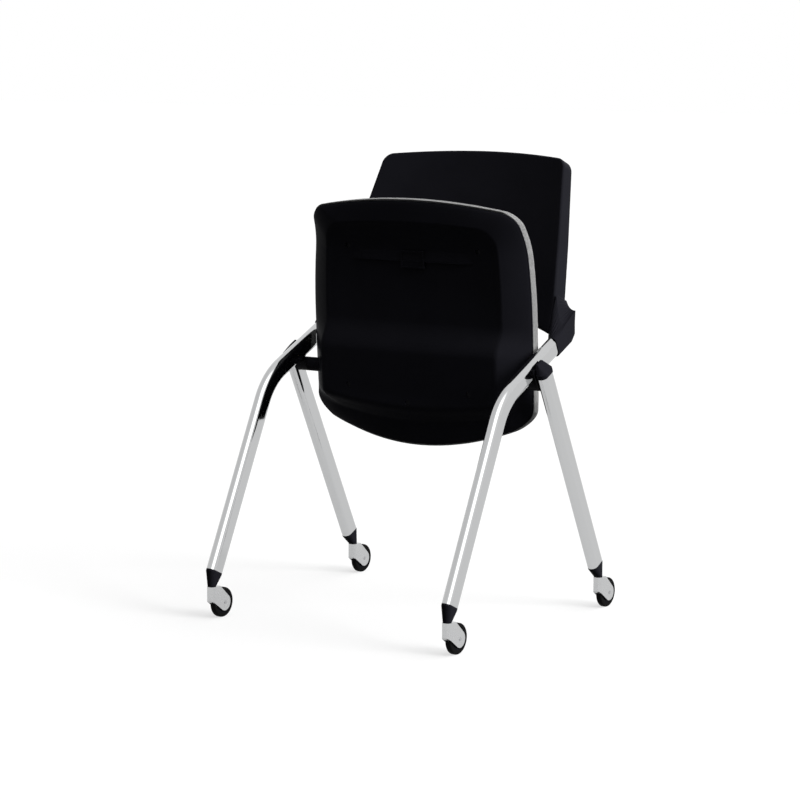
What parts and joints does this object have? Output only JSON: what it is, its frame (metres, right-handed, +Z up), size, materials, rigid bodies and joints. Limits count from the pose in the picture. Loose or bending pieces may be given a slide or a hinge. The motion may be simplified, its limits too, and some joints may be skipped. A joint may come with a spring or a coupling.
{
  "type": "nesting chair",
  "caption": "Armless nesting chair with a flip-up upholstered seat, bent chromed side frames, moulded black back and swivel casters.",
  "frame": {"origin": "on the floor, at the middle of the chair's width and depth", "axes": "+Z up, -Y towards the front, X across the chair"},
  "size_m": [0.5802, 0.5382, 0.8379],
  "materials": {
    "polished_tube": "bright chrome plate",
    "black_metal": "black powder coat",
    "black_plastic": "fine-grained, slightly satin",
    "zinc_steel": "zinc plated",
    "rubber": "matt",
    "plywood": "raw plywood",
    "grey_fabric": "woven grey upholstery",
    "bush_plastic": "natural acetal",
    "fork_metal": "bright die casting",
    "hub_plastic": "satin black",
    "tyre": "black tread"
  },
  "bodies": {
    "frame": {"front_tube_left": "polished_tube", "front_tube_right": "polished_tube", "rear_leg_left": "polished_tube", "rear_leg_right": "polished_tube", "pivot_bracket_left": "black_metal", "pivot_bracket_right": "black_metal", "leg_cap_left": "black_plastic", "leg_cap_right": "black_plastic", "cross_tube": "black_metal", "front_left_ferrule": "black_plastic", "front_right_ferrule": "black_plastic", "rear_left_ferrule": "black_plastic", "rear_right_ferrule": "black_plastic", "stem_sleeves": "zinc_steel", "back_ear_left": "black_plastic", "back_ear_right": "black_plastic", "back_shell": "black_plastic", "back_rear_panel": "black_plastic", "side_bumpers": "rubber"},
    "seat": {"seat_pan": "black_plastic", "seat_board": "plywood", "seat_cushion": "grey_fabric", "underseat_block": "black_plastic", "hinge_barrel_left": "black_plastic", "hinge_barrel_right": "black_plastic", "hinge_bushes": "bush_plastic", "seat_screws": "black_metal"},
    "front_left_swivel": {"front_left_fork": "fork_metal", "front_left_axle": "zinc_steel"},
    "front_left_wheel": {"front_left_hub": "hub_plastic", "front_left_tyre": "tyre"},
    "front_right_swivel": {"front_right_fork": "fork_metal", "front_right_axle": "zinc_steel"},
    "front_right_wheel": {"front_right_hub": "hub_plastic", "front_right_tyre": "tyre"},
    "rear_left_swivel": {"rear_left_fork": "fork_metal", "rear_left_axle": "zinc_steel"},
    "rear_left_wheel": {"rear_left_hub": "hub_plastic", "rear_left_tyre": "tyre"},
    "rear_right_swivel": {"rear_right_fork": "fork_metal", "rear_right_axle": "zinc_steel"},
    "rear_right_wheel": {"rear_right_hub": "hub_plastic", "rear_right_tyre": "tyre"}
  },
  "joints": [
    {"name": "seat_flip", "type": "hinge", "parent": "frame", "child": "seat", "pos_m": [0, 0.02623, 0.44057], "axis": [1, 0, 0], "range_deg": [0, 84]},
    {"name": "front_left_swivel", "type": "hinge", "parent": "frame", "child": "front_left_swivel", "pos_m": [-0.2565, -0.25902, 0.061], "axis": [0, 0, 1], "continuous": true},
    {"name": "front_left_roll", "type": "hinge", "parent": "front_left_swivel", "child": "front_left_wheel", "pos_m": [-0.2565, -0.23102, 0.0275], "axis": [1, 0, 0], "continuous": true},
    {"name": "front_right_swivel", "type": "hinge", "parent": "frame", "child": "front_right_swivel", "pos_m": [0.2565, -0.25902, 0.061], "axis": [0, 0, 1], "continuous": true},
    {"name": "front_right_roll", "type": "hinge", "parent": "front_right_swivel", "child": "front_right_wheel", "pos_m": [0.2565, -0.23102, 0.0275], "axis": [1, 0, 0], "continuous": true},
    {"name": "rear_left_swivel", "type": "hinge", "parent": "frame", "child": "rear_left_swivel", "pos_m": [-0.2791, 0.21298, 0.061], "axis": [0, 0, 1], "continuous": true},
    {"name": "rear_left_roll", "type": "hinge", "parent": "rear_left_swivel", "child": "rear_left_wheel", "pos_m": [-0.2791, 0.24098, 0.0275], "axis": [1, 0, 0], "continuous": true},
    {"name": "rear_right_swivel", "type": "hinge", "parent": "frame", "child": "rear_right_swivel", "pos_m": [0.2791, 0.21298, 0.061], "axis": [0, 0, 1], "continuous": true},
    {"name": "rear_right_roll", "type": "hinge", "parent": "rear_right_swivel", "child": "rear_right_wheel", "pos_m": [0.2791, 0.24098, 0.0275], "axis": [1, 0, 0], "continuous": true}
  ]
}
